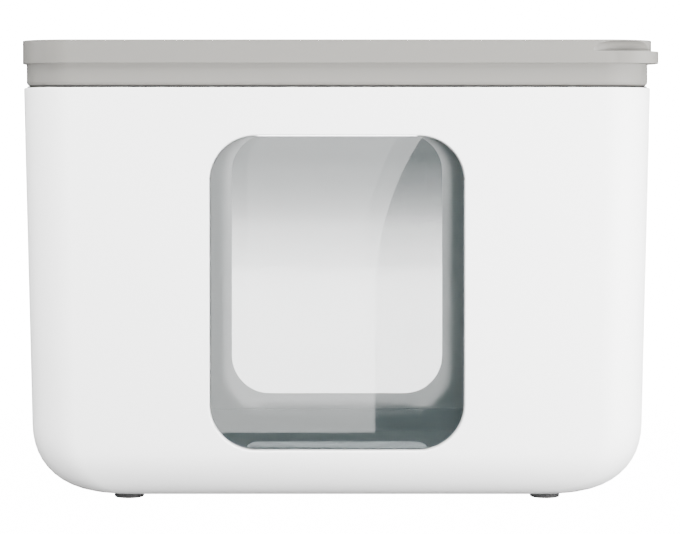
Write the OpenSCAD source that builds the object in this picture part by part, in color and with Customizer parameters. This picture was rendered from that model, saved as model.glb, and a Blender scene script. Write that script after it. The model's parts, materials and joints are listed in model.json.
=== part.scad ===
// Cat litter box with hood: a tapered tub with a swinging flap in front and a glazed window
// behind, a grey hood collar sealed onto its rim, and a hinged lid with a corner finger tab.
// Millimetres. X to the right, Y to the back, Z up. The flap is at the front, at -Y.

/* [Tub] */
// Width of the tub across its rim
body_w = 500; // [410:1:600]
// Depth of the tub, front face to rear face
body_d = 388; // [320:1:470]
// Height of the tub, underside to rim
body_h = 325; // [270:1:400]
// Thickness of the tub's walls and floor
wall = 4; // [3.5:0.1:6]
// How far each side leans in from rim to base
side_draft = 6; // [0:0.5:14]
// Radius of the tub's upright corners in plan
corner_r = 40; // [32:1:50]
// Radius of the two lower corners in front view
base_r = 56; // [45:1:70]
// Radius of the lower front and rear edges
edge_r = 38; // [28:1:42]
// Width of the ledge around the tub's mouth
rim_w = 14; // [13:0.5:20]
// Thickness of the ledge around the tub's mouth
rim_t = 4; // [3:0.5:6]

/* [Doorway and window] */
// Width of the doorway and of the rear window
door_w = 200.5; // [165:0.5:245]
// Corner radius of the doorway and of the rear window
door_r = 36; // [20:1:60]
// Height of the doorway's sill above the tub's underside
sill_h = 39.5; // [36:0.5:60]
// Height of the wall left above the doorway
head_h = 37.8; // [32:0.1:80]
// Gap all round between the flap and its doorway
flap_gap = 0.5; // [0.4:0.05:2]
// Thickness of the flap
flap_t = 3; // [2.5:0.1:4]
// Distance from the top of the doorway down to the flap's pivots
pivot_drop = 34; // [30:1:60]
// Radius of the flap's two journals
journal_r = 1.2; // [1:0.05:1.25]
// Width of the door frame around the doorway
frame_w = 12; // [10:0.5:16]
// Depth of the door frame behind the front wall
frame_t = 8; // [7:0.5:12]
// Width of the step that the rear pane is set into
rebate_w = 6; // [4:0.5:10]
// Thickness of the rear pane
pane_t = 1.6; // [1:0.1:2]
// Thickness of the seal behind the rear pane
pane_seal_t = 0.6; // [0.4:0.1:1]
// Length of the magnet bar along the foot of the flap
bar_l = 142; // [60:1:144]
// Height of the magnet bar
bar_h = 5; // [4:0.5:10]

/* [Hood] */
// Thickness of the seal between the tub and the collar
seal_t = 1.2; // [0.8:0.1:3]
// How far the collar stands in from the tub's outside
collar_inset = 2; // [2:0.5:4]
// Height of the collar
collar_h = 17.8; // [16:0.1:30]
// Width of the collar's top, outside to mouth
collar_w = 27; // [22:0.5:34]
// Thickness of the walls of collar and lid
hood_t = 3; // [2:0.1:4]
// Height of the lid
lid_h = 18; // [16:0.5:30]
// How far the lid stands out beyond the tub
lid_over = 1; // [0:0.25:3]
// Gap between the closed lid and the collar
lid_gap = 0.5; // [0.4:0.1:1]
// Angle between the lid's front and the thumb scoop in its corner
scoop_turn = 25; // [10:1:45]
// Height of the finger tab below the scoop
tab_h = 9; // [6:0.5:12]
// How far the finger tab stands out beyond the lid's side
tab_out = 4; // [2:0.5:10]
// Length of the finger tab along the lid's side
tab_l = 70; // [57:1:90]
// Length of the finger tab along the lid's front
tab_w = 58.5; // [57:0.5:75]
// Distance from the centre to each lid hinge
hinge_x = 150; // [80:1:180]
// Radius of the hinge barrels
barrel_r = 5.5; // [4.5:0.1:7]
// Radius of the hinge pins
pin_r = 2; // [1.5:0.1:3]

/* [Pan, filter and feet] */
// Height of the litter pan
pan_h = 22; // [20:1:30]
// Thickness of the litter pan's walls
pan_t = 2.2; // [1.6:0.1:3]
// Width of the carbon filter
filter_w = 130; // [80:1:200]
// Depth of the carbon filter, front to back
filter_d = 90; // [60:1:140]
// Thickness of the carbon filter
filter_t = 7; // [5:0.5:7]
// Radius of each rubber foot
foot_r = 12; // [8:0.5:14]
// Height of each rubber foot
foot_h = 5; // [3:0.5:10]
// Distance from the tub's sides in to the feet's centres
foot_in_x = 82; // [80:1:110]
// Distance from the tub's front and rear in to the feet's centres
foot_in_y = 55; // [52:1:90]

/* [Hidden] */

$fn = 64;
HULL_FN = 32;
cut = 1;                  // how far a cutting tool passes through a face
fit = 0.05;               // radial clearance of fitted and running parts
pin_fit = 0.03;           // radial clearance of a hinge pin in its ears
loose = 0.5;              // clearance of parts that drop into place
screw_fit = 0.3;          // radial clearance of a screw's passing hole

// tub and doorway
tub_z = foot_h;
rim_z = tub_z + body_h;
floor_z = tub_z + wall;
door_h = body_h - sill_h - head_h;
sill_z = tub_z + sill_h;
door_top = sill_z + door_h;
door_mid = sill_z + door_h / 2;
inner_front = -body_d / 2 + wall;
rear_rebate = pane_t + pane_seal_t;
pane_edge = rebate_w - 0.4;
pane_seal_w = 4.6;

// flap, its bushes and magnets
bush_r = journal_r + 1.3;
bush_play = 0.45;         // from the front wall's inside to the bush's seat
journal_l = frame_w - 5.4;
journal_root = 3;         // how far a journal runs into the flap
bush_l = journal_l - flap_gap;
bush_in = 0.2;            // how far a bush sits in from the doorway's side
flap_y = inner_front + bush_r + fit + bush_play;
pivot_z = door_top - pivot_drop;
magnet = [40, 5, 6];
magnet_z = sill_z - frame_w / 2;
magnet_gap = 0.05;
bar_t = 3;
bar_z = sill_z + flap_gap + 0.8;
bar_r = bar_h * 0.4;

// door frame's ears and screws
frame_boss_r = 4;
frame_ear_t = 3;
frame_screw_r = 1.4;
frame_screw_head = [2.8, 1.8];
frame_screw_x = door_w / 2 + frame_w + frame_boss_r;
frame_screw_z = [sill_z + 40, door_top - 60];

// litter pan
pan_foot = [body_w - 2 * (side_draft + base_r), body_d - 2 * edge_r - 6];
pan_mouth = [pan_foot.x + 1.8 * pan_h, body_d - 2 * (wall + frame_t) - 4];
pan_r = 24;
pan_flare_r = 32;
pan_z = floor_z + loose;

// feet
foot_at = [body_w / 2 - foot_in_x, body_d / 2 - foot_in_y];
foot_peg_r = 3;
foot_edge = 1.2;
peg_edge = 0.5;

// collar
collar_z = rim_z + seal_t;
collar_top = collar_z + collar_h;
collar_wd = [body_w - 2 * collar_inset, body_d - 2 * collar_inset];
collar_r = corner_r - collar_inset;
collar_foot = rim_w - collar_inset - 1;
seal_inset = 0.5;         // from the collar's outside in to its seal
spigot_gap = 0.5;
spigot_drop = 10;
collar_screw_r = 1.9;
collar_boss_r = 4;
collar_head = [3.4, 2.4];
screw_in = collar_inset + collar_foot / 2;
collar_screw_at = [for (s = [-1, 1], y = [-60, 60]) [s * (body_w / 2 - screw_in), y],
  for (s = [-1, 1], x = [-110, 110]) [x, s * (body_d / 2 - screw_in)]];

// lid and its hinges
lid_z = collar_top + lid_gap;
lid_top = lid_z + lid_h;
lid_wd = [body_w + 2 * lid_over, body_d + 2 * lid_over];
lid_r = corner_r + lid_over;
lid_corner = [lid_wd.x / 2, -lid_wd.y / 2];
tab_r = 28;
scoop_r = min(lid_h - tab_h - 1, 8);
scoop_l = 2 * lid_r;
hinge_y = lid_wd.y / 2 + barrel_r + loose;
hinge_z = lid_z - lid_gap / 2;
knuckle_l = 24;
ear_l = 10;
hinge_gap = 0.4;
hinge_part = 0.8;         // how far the hinge arms keep off the hinge's middle height
pin_head = [pin_r + 1.5, 1.2];
seal_in = 12;             // from the lid's outside in to its seal
seal_w = 6;
seal_off = 0.2;           // how far the lid's seal keeps off the collar
vent_pitch = 10;
vent_w = 4;
vent_count = floor((filter_w - 20) / vent_pitch);

// filter under the lid
filter_y = 20;
tray_w = 2.5;
tray_top = lid_top - hood_t;
cover_t = 2.5;
pad_gap = 1.5;
tray_z = tray_top - filter_t - pad_gap - cover_t;
lug_r = 5;
lug_z = tray_z + 3;
tray_screw_r = 1.5;
tray_screw_head = [2.8, 1.8];
tray_screw_bite = 2;      // how far a tray screw runs into the lid
cover_axis_y = filter_y + filter_d / 2 - 2;
cover_axis_z = tray_z + cover_t / 2;
cover_journal_r = 1;
notch_r = 8;

// the envelope's centre, which the model is moved to
shift = [-tab_out / 2, -(hinge_y + barrel_r - lid_wd.y / 2) / 2, 0];

function corners(w, d) = [for (sx = [-1, 1], sy = [-1, 1]) [sx * w / 2, sy * d / 2]];

module place() {
  translate(shift) children();
}

module rounded(size, r) {
  square([size.x - 2 * r, size.y], center = true);
  square([size.x, size.y - 2 * r], center = true);
  for (p = corners(size.x - 2 * r, size.y - 2 * r)) translate(p) circle(r);
}

// a rounded plate lying flat, from height z up by t
module plate(size, r, z, t) {
  translate([0, 0, z]) linear_extrude(t) rounded(size, r);
}

module ring(size, r, z, t, w) {
  difference() {
    plate(size, r, z, t);
    plate(size - [2, 2] * w, r - w, z - cut, t + 2 * cut);
  }
}

// a rounded block standing upright around the doorway's centre, from y backwards by t
module upright(grow, y, t) {
  translate([0, y + t, door_mid]) rotate([90, 0, 0])
    linear_extrude(t) rounded([door_w + 2 * grow, door_h + 2 * grow], door_r + grow);
}

module rod_x(x, y, z, r, l) {
  translate([x, y, z]) rotate([0, 90, 0]) cylinder(r = r, h = l);
}

module rod_y(r, l) {
  rotate([-90, 0, 0]) cylinder(r = r, h = l);
}

// a screw standing on its head's underside, pointing up, with a hexagon socket in its head
module screw(r, head, l) {
  difference() {
    union() {
      translate([0, 0, -head[1]]) cylinder(r = head[0], h = head[1]);
      translate([0, 0, -head[1] / 2]) cylinder(r = r, h = l + head[1] / 2);
    }
    translate([0, 0, -head[1] - cut]) cylinder(r = head[0] * 0.46, h = cut + head[1] * 0.55, $fn = 6);
  }
}

module vents(l) {
  for (i = [0 : vent_count - 1]) translate([(i - (vent_count - 1) / 2) * vent_pitch, 0, 0])
    linear_extrude(hood_t + 2 * cut) rounded([vent_w, l], vent_w / 2 - 0.01);
}

// one lower corner of the tub: a ring of tube radius tube_r, its hollow middle closed
module lower_corner(tube_r) {
  rotate([90, 0, 0]) rotate_extrude($fn = HULL_FN) intersection() {
    translate([base_r - edge_r, 0]) circle(tube_r, $fn = HULL_FN);
    translate([0, -tube_r]) square([base_r - edge_r + tube_r, 2 * tube_r]);
  }
}

// the tub's outer form, taken in by t all round and reaching up past the rim by over
module tub_form(t, over) {
  hull() {
    for (p = corners(body_w - 2 * corner_r, body_d - 2 * corner_r))
      translate([p.x, p.y, rim_z - 1]) cylinder(r = corner_r - t, h = 1 + over, $fn = HULL_FN);
    for (p = corners(body_w - 2 * side_draft - 2 * base_r, body_d - 2 * edge_r))
      translate([p.x, p.y, tub_z + base_r]) lower_corner(edge_r - t);
  }
}

module at_frame_screws() {
  for (s = [-1, 1], z = frame_screw_z) translate([s * frame_screw_x, inner_front, z]) children();
}

module at_collar_screws(z) {
  for (p = collar_screw_at) translate([p.x, p.y, z]) children();
}

module at_hinges() {
  for (s = [-1, 1]) translate([s * hinge_x, 0, 0]) children();
}

module at_tray_screws(z) {
  for (p = corners(filter_w + 2 * tray_w + 2 * lug_r - 2, filter_d - 20))
    translate([p.x, filter_y + p.y, z]) children();
}

// ---- fixed body ----

module tub() {
  place() color("whitesmoke") difference() {
    union() {
      difference() {
        tub_form(0, 0);
        tub_form(wall, cut);
      }
      ring([body_w - wall, body_d - wall], corner_r - wall / 2, rim_z - rim_t, rim_t, rim_w - wall / 2);
      at_frame_screws() translate([0, -wall / 2, 0]) rod_y(frame_boss_r, wall / 2 + frame_t - frame_ear_t);
    }
    upright(0, -body_d / 2 - cut, wall + 2 * cut);
    upright(0, body_d / 2 - wall - cut, wall + 2 * cut);
    upright(rebate_w, body_d / 2 - rear_rebate, rear_rebate + cut);
    at_frame_screws() translate([0, -wall / 4, 0]) rod_y(frame_screw_r, frame_t);
    at_collar_screws(rim_z - rim_t - cut) cylinder(r = collar_screw_r + screw_fit, h = rim_t + 2 * cut);
    for (p = corners(2 * foot_at.x, 2 * foot_at.y)) translate([p.x, p.y, tub_z - cut])
      cylinder(r = foot_peg_r + fit, h = wall + 2 * cut);
  }
}

module foot(side, end) {
  place() color("dimgray") translate([side * foot_at.x, end * foot_at.y, 0]) rotate_extrude()
    polygon([[0, 0], [foot_r - foot_edge, 0], [foot_r, foot_edge], [foot_r, foot_h],
      [foot_peg_r, foot_h], [foot_peg_r, foot_h + wall - peg_edge],
      [foot_peg_r - peg_edge, foot_h + wall], [0, foot_h + wall]]);
}

module litter_pan() {
  place() color("gainsboro") difference() {
    hull() {
      plate(pan_foot, pan_r, pan_z, 1, $fn = HULL_FN);
      plate(pan_mouth, pan_flare_r, pan_z + pan_h - 1, 1, $fn = HULL_FN);
    }
    hull() {
      plate(pan_foot - [2, 2] * pan_t, pan_r - pan_t, pan_z + pan_t, 1, $fn = HULL_FN);
      plate(pan_mouth - [2, 2] * pan_t, pan_flare_r - pan_t, pan_z + pan_h, 1, $fn = HULL_FN);
    }
  }
}

module rear_window_seal() {
  place() color("darkslategray") difference() {
    upright(pane_edge, body_d / 2 - rear_rebate, pane_seal_t);
    upright(pane_edge - pane_seal_w, body_d / 2 - rear_rebate - cut, pane_seal_t + 2 * cut);
  }
}

module rear_window_pane() {
  place() color("slategray", 0.5) upright(pane_edge, body_d / 2 - pane_t, pane_t);
}

// everything below the front wall's flat that lies outside its rounded lower edge
module below_wall_flat() {
  difference() {
    translate([-body_w / 2, inner_front - cut, 0]) cube([body_w, edge_r, tub_z + edge_r]);
    rod_x(-body_w, -body_d / 2 + edge_r, tub_z + edge_r, edge_r - wall - loose, 2 * body_w);
  }
}

module door_frame() {
  place() color("white") difference() {
    union() {
      upright(frame_w, inner_front, frame_t);
      at_frame_screws() translate([0, frame_t - frame_ear_t, 0]) rod_y(frame_boss_r, frame_ear_t);
      for (s = [-1, 1], z = frame_screw_z)
        translate([s * (frame_screw_x - frame_boss_r), inner_front + frame_t - frame_ear_t / 2, z])
          cube([2 * frame_boss_r, frame_ear_t, 2 * frame_boss_r], center = true);
    }
    upright(0, inner_front - cut, frame_t + 2 * cut);
    below_wall_flat();
    for (s = [-1, 1]) rod_x(s > 0 ? door_w / 2 - cut : -door_w / 2 - journal_l - fit,
      flap_y, pivot_z, bush_r + fit, journal_l + cut + fit);
    translate([0, inner_front + frame_t, magnet_z])
      cube(magnet + [1, magnet.y / fit + 1, 1] * 2 * fit, center = true);
    at_frame_screws() rod_y(frame_screw_r + screw_fit, frame_t + cut);
  }
}

module door_frame_screws() {
  place() color("silver") at_frame_screws() translate([0, frame_t, 0]) rotate([90, 0, 0])
    screw(frame_screw_r, frame_screw_head, frame_t - 1.5);
}

module flap_bush(side) {
  x = side > 0 ? door_w / 2 + bush_in : -door_w / 2 - bush_in - bush_l;
  place() color("ivory") difference() {
    rod_x(x, flap_y, pivot_z, bush_r, bush_l);
    rod_x(x - cut, flap_y, pivot_z, journal_r + fit, bush_l + 2 * cut);
  }
}

module sill_magnet() {
  place() color("dimgray")
    translate([0, inner_front + frame_t - magnet.y / 2 - magnet_gap, magnet_z])
      cube(magnet, center = true);
}

// ---- flap ----

module flap_pane() {
  place() color("slategray", 0.5) {
    upright(-flap_gap, flap_y - flap_t / 2, flap_t);
    for (s = [-1, 1]) rod_x(s > 0 ? door_w / 2 - journal_root : -door_w / 2 - journal_l + flap_gap,
      flap_y, pivot_z, journal_r, journal_l + journal_root - flap_gap);
  }
}

module flap_magnet_bar() {
  place() color("lightgray") translate([0, flap_y + flap_t / 2 + bar_t, bar_z + bar_h / 2])
    rotate([90, 0, 0]) linear_extrude(bar_t) rounded([bar_l, bar_h], bar_r);
}

// ---- hood collar ----

module collar_seal() {
  place() color("dimgray") difference() {
    ring(collar_wd - [2, 2] * seal_inset, collar_r - seal_inset, rim_z, seal_t,
      collar_foot - seal_inset);
    at_collar_screws(rim_z - cut) cylinder(r = collar_screw_r + screw_fit, h = seal_t + 2 * cut);
  }
}

// the two ears of one hinge, on the collar
module hinge_ears() {
  arm_y = collar_wd.y / 2 - hood_t / 2;
  for (s = [-1, 1]) {
    x0 = s * (knuckle_l / 2 + hinge_gap + ear_l / 2) - ear_l / 2;
    rod_x(x0, hinge_y, hinge_z, barrel_r, ear_l);
    translate([x0, arm_y, hinge_z - 2 * barrel_r])
      cube([ear_l, hinge_y - arm_y, 2 * barrel_r - hinge_part]);
  }
}

module hood_collar() {
  spigot = [body_w, body_d] - [2, 2] * (rim_w + spigot_gap);
  place() color("silver") difference() {
    union() {
      ring(collar_wd, collar_r, collar_z, collar_h, hood_t);
      ring(collar_wd, collar_r, collar_top - hood_t, hood_t, collar_w);
      ring(collar_wd, collar_r, collar_z, hood_t, collar_foot);
      ring(spigot, corner_r - rim_w - spigot_gap, rim_z - spigot_drop,
        collar_top - rim_z + spigot_drop, hood_t);
      at_collar_screws(collar_z) cylinder(r = collar_boss_r, h = collar_h - hood_t / 2);
      at_hinges() hinge_ears();
    }
    at_collar_screws(collar_z - cut) cylinder(r = collar_screw_r + fit, h = collar_h - hood_t);
    at_hinges() rod_x(-knuckle_l, hinge_y, hinge_z, pin_r + pin_fit, 2 * knuckle_l);
  }
}

module collar_screws() {
  place() color("silver") at_collar_screws(rim_z - rim_t)
    screw(collar_screw_r, collar_head, rim_t + seal_t + collar_h / 2);
}

module lid_hinge_pin(side) {
  l = knuckle_l + 2 * (hinge_gap + ear_l);
  place() color("silver") {
    rod_x(side * hinge_x - l / 2 - loose, hinge_y, hinge_z, pin_r, l + loose);
    rod_x(side * hinge_x - l / 2 - loose - pin_head[1], hinge_y, hinge_z, pin_head[0], pin_head[1]);
  }
}

// ---- lid ----

// the scoop's middle: on the corner's outside, with X along the scoop
module at_scoop(z) {
  translate([lid_corner.x - lid_r, lid_corner.y + lid_r, z]) rotate(scoop_turn)
    translate([0, -lid_r, 0]) children();
}

// half a round bar lying flat side down, which hollows the corner out
module scoop() {
  difference() {
    rod_x(-scoop_l / 2, 0, 0, scoop_r, scoop_l);
    translate([-scoop_l / 2 - cut, -scoop_r - cut, -2 * scoop_r])
      cube([scoop_l + 2 * cut, 2 * (scoop_r + cut), 2 * scoop_r]);
  }
}

// a flat lid with deep sides, a thumb scoop in its front right corner and a finger tab below it
module lid_body() {
  difference() {
    union() {
      difference() {
        plate(lid_wd, lid_r, lid_z, lid_h);
        at_scoop(lid_z + tab_h) scoop();
      }
      translate([lid_corner.x + tab_out - tab_w / 2, lid_corner.y + tab_l / 2, lid_z])
        linear_extrude(tab_h) rounded([tab_w, tab_l], tab_r);
    }
    difference() {
      plate(lid_wd - [2, 2] * hood_t, lid_r - hood_t, lid_z - cut, lid_h - hood_t + cut);
      at_scoop(lid_z - 2 * cut) translate([-scoop_l / 2, -scoop_l, 0])
        cube([scoop_l, scoop_l + scoop_r + hood_t, lid_h + cut]);
    }
  }
}

module lid_knuckle() {
  arm_y = lid_wd.y / 2 - hood_t / 2;
  rod_x(-knuckle_l / 2, hinge_y, hinge_z, barrel_r, knuckle_l);
  translate([-knuckle_l / 2, arm_y, hinge_z + hinge_part])
    cube([knuckle_l, hinge_y - arm_y, 2 * (barrel_r - 1)]);
}

module lid() {
  seal_wd = lid_wd - [2, 2] * seal_in;
  place() color("silver") difference() {
    union() {
      lid_body();
      ring(seal_wd, lid_r - seal_in, lid_z + hood_t, lid_h - hood_t - 1, seal_w);
      at_hinges() lid_knuckle();
    }
    ring(seal_wd, lid_r - seal_in, lid_z - cut, hood_t + cut, seal_w);
    at_hinges() rod_x(-knuckle_l, hinge_y, hinge_z, pin_r + 2 * pin_fit, 2 * knuckle_l);
    translate([0, filter_y, tray_top - cut]) vents(filter_d - 20);
    at_tray_screws(tray_top - cut) cylinder(r = tray_screw_r, h = cut + tray_screw_bite);
  }
}

module lid_seal() {
  place() color("dimgray") ring(lid_wd - [2, 2] * seal_in, lid_r - seal_in, collar_top + seal_off,
    lid_z + hood_t - collar_top - seal_off, seal_w);
}

// ---- filter under the lid ----

module filter_tray() {
  inside = [filter_w, filter_d] + [2, 2] * loose;
  h = tray_top - tray_z;
  place() color("gray") difference() {
    union() {
      translate([0, filter_y, tray_z + h / 2])
        cube([inside.x + 2 * tray_w, inside.y + 2 * tray_w, h], center = true);
      at_tray_screws(lug_z) cylinder(r = lug_r, h = tray_top - lug_z);
    }
    translate([0, filter_y, tray_z + h / 2]) cube([inside.x, inside.y, h + 2 * cut], center = true);
    at_tray_screws(tray_z - cut) cylinder(r = tray_screw_r + screw_fit, h = h + 2 * cut);
    rod_x(-filter_w, cover_axis_y, cover_axis_z, cover_journal_r + fit, 2 * filter_w);
  }
}

module filter_tray_screws() {
  place() color("silver") at_tray_screws(lug_z)
    screw(tray_screw_r - 0.02, tray_screw_head, tray_top - lug_z + tray_screw_bite - 0.2);
}

module carbon_filter() {
  place() color("darkslategray") translate([0, filter_y, tray_top - filter_t / 2 - 0.1])
    cube([filter_w, filter_d, filter_t], center = true);
}

module filter_cover() {
  back = cover_axis_y + cover_t / 2;
  front = filter_y - filter_d / 2;
  place() color("gray") {
    difference() {
      translate([-filter_w / 2, front, tray_z]) cube([filter_w, back - front, cover_t]);
      translate([0, filter_y - 1, tray_z - cut]) vents(filter_d - 34);
      translate([0, front, tray_z - cut]) cylinder(r = notch_r, h = cover_t + 2 * cut);
    }
    rod_x(-filter_w / 2 - tray_w, cover_axis_y, cover_axis_z, cover_journal_r, filter_w + 2 * tray_w);
  }
}

tub();
collar_seal();
hood_collar();
collar_screws();
litter_pan();
rear_window_pane();
rear_window_seal();
door_frame();
door_frame_screws();
flap_bush(-1);  // flap_bush_left
flap_bush(1);  // flap_bush_right
sill_magnet();
flap_pane();
flap_magnet_bar();
lid();
lid_seal();
lid_hinge_pin(-1);  // lid_hinge_pin_left
lid_hinge_pin(1);  // lid_hinge_pin_right
filter_tray();
filter_tray_screws();
carbon_filter();
filter_cover();
foot(-1, -1);  // foot_front_left
foot(1, -1);  // foot_front_right
foot(-1, 1);  // foot_rear_left
foot(1, 1);  // foot_rear_right
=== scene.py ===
"""Finished pieces, finishes and a studio for the hooded cat litter box.

Laid out as an add-on and run as a script: main() registers the classes and calls every operator.
"""

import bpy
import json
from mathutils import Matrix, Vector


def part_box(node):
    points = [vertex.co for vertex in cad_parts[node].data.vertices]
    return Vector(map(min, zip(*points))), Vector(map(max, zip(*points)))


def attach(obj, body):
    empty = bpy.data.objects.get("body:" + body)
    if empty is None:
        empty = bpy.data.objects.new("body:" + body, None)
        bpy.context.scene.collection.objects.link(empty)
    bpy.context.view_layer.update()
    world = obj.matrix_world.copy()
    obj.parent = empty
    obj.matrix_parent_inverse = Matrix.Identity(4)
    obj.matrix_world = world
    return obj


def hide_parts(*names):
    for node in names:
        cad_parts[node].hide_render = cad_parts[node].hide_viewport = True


bl_info = {
    "name": "Hooded cat litter box",
    "version": (1, 0, 0),
    "blender": (4, 5, 0),
    "location": "View3D > Sidebar > Litter box",
    "description": "Finished pieces, finishes and a studio for the hooded cat litter box",
    "category": "Object",
}

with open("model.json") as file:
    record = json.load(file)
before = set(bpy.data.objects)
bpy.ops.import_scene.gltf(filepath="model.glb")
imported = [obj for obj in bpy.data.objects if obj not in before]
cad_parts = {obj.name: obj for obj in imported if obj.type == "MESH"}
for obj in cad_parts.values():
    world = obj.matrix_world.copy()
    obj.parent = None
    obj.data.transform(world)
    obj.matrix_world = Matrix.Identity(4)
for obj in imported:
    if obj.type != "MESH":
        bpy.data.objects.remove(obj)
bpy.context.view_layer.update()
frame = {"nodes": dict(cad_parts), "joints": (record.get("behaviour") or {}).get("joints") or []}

import json
import math

import bmesh
import bpy
from bpy.props import FloatProperty, FloatVectorProperty, PointerProperty
from bpy.types import Operator, Panel, PropertyGroup
from mathutils import Vector

MM = 0.001


# ---------------------------------------------------------------- places read from the frame

TUB_LO, TUB_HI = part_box("tub")
LID_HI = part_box("lid")[1]
PANE_LO, PANE_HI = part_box("rear_window_pane")
SEAL_LO, SEAL_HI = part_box("rear_window_seal")
FLAP_LO, FLAP_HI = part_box("flap_pane")
BAR_LO, BAR_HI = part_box("flap_magnet_bar")
PAN_LO, PAN_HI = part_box("litter_pan")

CENTRE_X = (TUB_LO.x + TUB_HI.x) / 2
CENTRE_Y = (TUB_LO.y + TUB_HI.y) / 2
FLOOR_Z = 0.0
PIVOT = Vector(next(j for j in frame["joints"] if j["name"] == "flap_swing")["pos_m"])

BELOW_RIM = 10 * MM          # the doorway and the rear window lie at least this far below the tub's top
DOOR_SIDE = 110 * MM         # past the doorway's sides, from the middle
FRAME_SIDE = 112.5 * MM      # past the door frame's ring, from the middle
FRAME_FOOT = 11 * MM         # from the door frame's lowest point up to its ring
JOURNAL_ROOT = 3 * MM        # how far a journal runs into the flap
PAN_CORNER = 20 * MM         # corner radius of the pan's floor
PAN_FILLET = 6 * MM          # radius between the pan's floor and its wall
PAN_TURN = 75                # how far round that fillet runs, in degrees
PAN_FLARE = 0.9              # how far the pan's wall leans out in X, as a share of its height
PAN_FLARE_Y = 9 * MM         # how far it leans out in Y
PAN_CLEAR = 0.3 * MM         # how far the pan keeps inside its space at the rim
PAN_LIP = 1.5 * MM           # how far the pan's rim stands out over its wall
PAN_RIM_STEP = 0.5 * MM      # height of the step under that rim
SCREW_HEAD = 2.8 * MM        # radius of the door frame's screw heads
POST = 4 * MM                # radius of the posts that the door frame is screwed to
FRAME_EAR = 3 * MM           # thickness of the door frame's ears
COLLAR_IN = 2.5 * MM         # the collar's corner radius is this much less than the tub's
LID_SEAL_CORNER = 29 * MM    # corner radius of the lid's seal, at its outside
LID_RIM_OUT = 10.5 * MM      # the lid's outer skirt stands further out than this from its seal
SCOOP_X = 195 * MM           # the scoop and tab lie further to the right than this
SCOOP_Y = 140 * MM           # and further to the front than this, both from the middle
SCOOP_LOW = 8.9 * MM         # lowest edge of the scoop above the lid's foot
SCOOP_HIGH = 0.8 * MM        # highest edge of the scoop below the lid's top


# ---------------------------------------------------------------- sizes and colours to change

def millimetres(name, text, size):
    return FloatProperty(name=name, description=text, default=size * MM, subtype="DISTANCE", unit="LENGTH")


def colour(name, text, value):
    return FloatVectorProperty(name=name, description=text, default=value, size=3, min=0, max=1,
                               subtype="COLOR")


class BoxSizes(PropertyGroup):
    wall: millimetres("Wall", "Thickness of the tub's walls and floor", 4)
    corner: millimetres("Corner", "Radius of the tub's upright corners", 40)
    base: millimetres("Base", "Radius of the lower corners seen from the front", 56)
    edge: millimetres("Lower edge", "Radius of the lower front and rear edges", 38)
    draft: millimetres("Draft", "How far each side leans in from rim to base", 6)
    ledge: millimetres("Ledge", "Width of the ledge around the mouth", 14)
    ledge_thick: millimetres("Ledge thickness", "Thickness of the ledge around the mouth", 4)
    door_corner: millimetres("Door corner", "Corner radius of doorway and rear window", 36)
    flap_gap: millimetres("Flap gap", "Gap all round the flap", 0.5)
    pane_edge: millimetres("Pane edge", "How far the rear pane laps over its window", 5.6)
    seal_width: millimetres("Seal width", "Width of the seal behind the rear pane", 4.6)
    journal: millimetres("Journal", "Radius of the flap's journals", 1.2)
    door_round: millimetres("Door rounding", "Rounding of the doorway's outer edge", 1.3)
    soft_edge: millimetres("Soft edge", "Rounding of moulded outer edges", 1.1)
    band_round: millimetres("Band rounding", "Rounding of the collar's lower edge", 3.4)
    lid_height: millimetres("Lid height", "Height of the lid's sides", 18)
    drip: millimetres("Drip edge", "How far the lid's lower edge hangs over the collar's top", 0.8)
    fine_edge: millimetres("Fine edge", "Rounding of small parts' edges", 0.4)
    pan_wall: millimetres("Pan wall", "Thickness of the litter pan", 2.2)
    pan_rim: millimetres("Pan rim", "Height of the pan's rolled rim", 3)


class BoxColours(PropertyGroup):
    tub: colour("Tub", "White of the tub and the door frame", (0.80, 0.80, 0.80))
    hood: colour("Hood", "Warm grey of the lid and the collar", (0.122, 0.1185, 0.1095))
    pan: colour("Pan", "Light grey of the litter pan", (0.50, 0.51, 0.51))
    smoke: colour("Smoke", "Tint of the smoked panes", (0.020, 0.030, 0.031))
    bar: colour("Bar", "Frosted grey of the magnet bar", (0.20, 0.22, 0.225))
    seal: colour("Seal", "Near black of the rubber seals", (0.012, 0.012, 0.012))
    clear_seal: colour("Clear seal", "Milky grey of the rear pane's seal", (0.22, 0.24, 0.245))
    rubber: colour("Feet", "Black of the rubber feet", (0.028, 0.028, 0.028))
    inner: colour("Inner", "Grey of the filter tray and cover", (0.30, 0.30, 0.29))
    foam: colour("Foam", "Charcoal of the carbon foam", (0.018, 0.018, 0.019))


class StudioSettings(PropertyGroup):
    lens: FloatProperty(name="Lens", description="Focal length of the camera", default=120.0, unit="CAMERA")
    distance: FloatProperty(name="Distance", description="Camera to the tub's front", default=1.774,
                            unit="LENGTH")
    pitch: FloatProperty(name="Pitch", description="How far the camera looks down",
                         default=math.radians(1.2), subtype="ANGLE", unit="ROTATION")
    shift_x: FloatProperty(name="Shift X", description="Sideways shift of the lens", default=0.0044)
    shift_y: FloatProperty(name="Shift Y", description="Upright shift of the lens", default=-0.139)
    height: FloatProperty(name="Height", description="Camera above the floor", default=0.3004, unit="LENGTH")
    key: FloatProperty(name="Front light", description="Strength of the light behind the camera",
                       default=3100.0, unit="POWER")
    top: FloatProperty(name="Top light", description="Strength of the overhead softbox", default=140.0,
                       unit="POWER")
    side: FloatProperty(name="Side light", description="Strength of the right-hand softbox", default=33.0,
                        unit="POWER")
    card: FloatProperty(name="Card", description="Brightness of the card mirrored in the flap", default=8.5)


# ---------------------------------------------------------------- modelling by hand, in code

def activate(obj):
    bpy.ops.object.select_all(action="DESELECT")
    bpy.context.view_layer.objects.active = obj
    obj.select_set(True)


def edit(obj):
    activate(obj)
    bpy.ops.object.mode_set(mode="EDIT")


def leave():
    bpy.ops.object.mode_set(mode="OBJECT")


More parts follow.
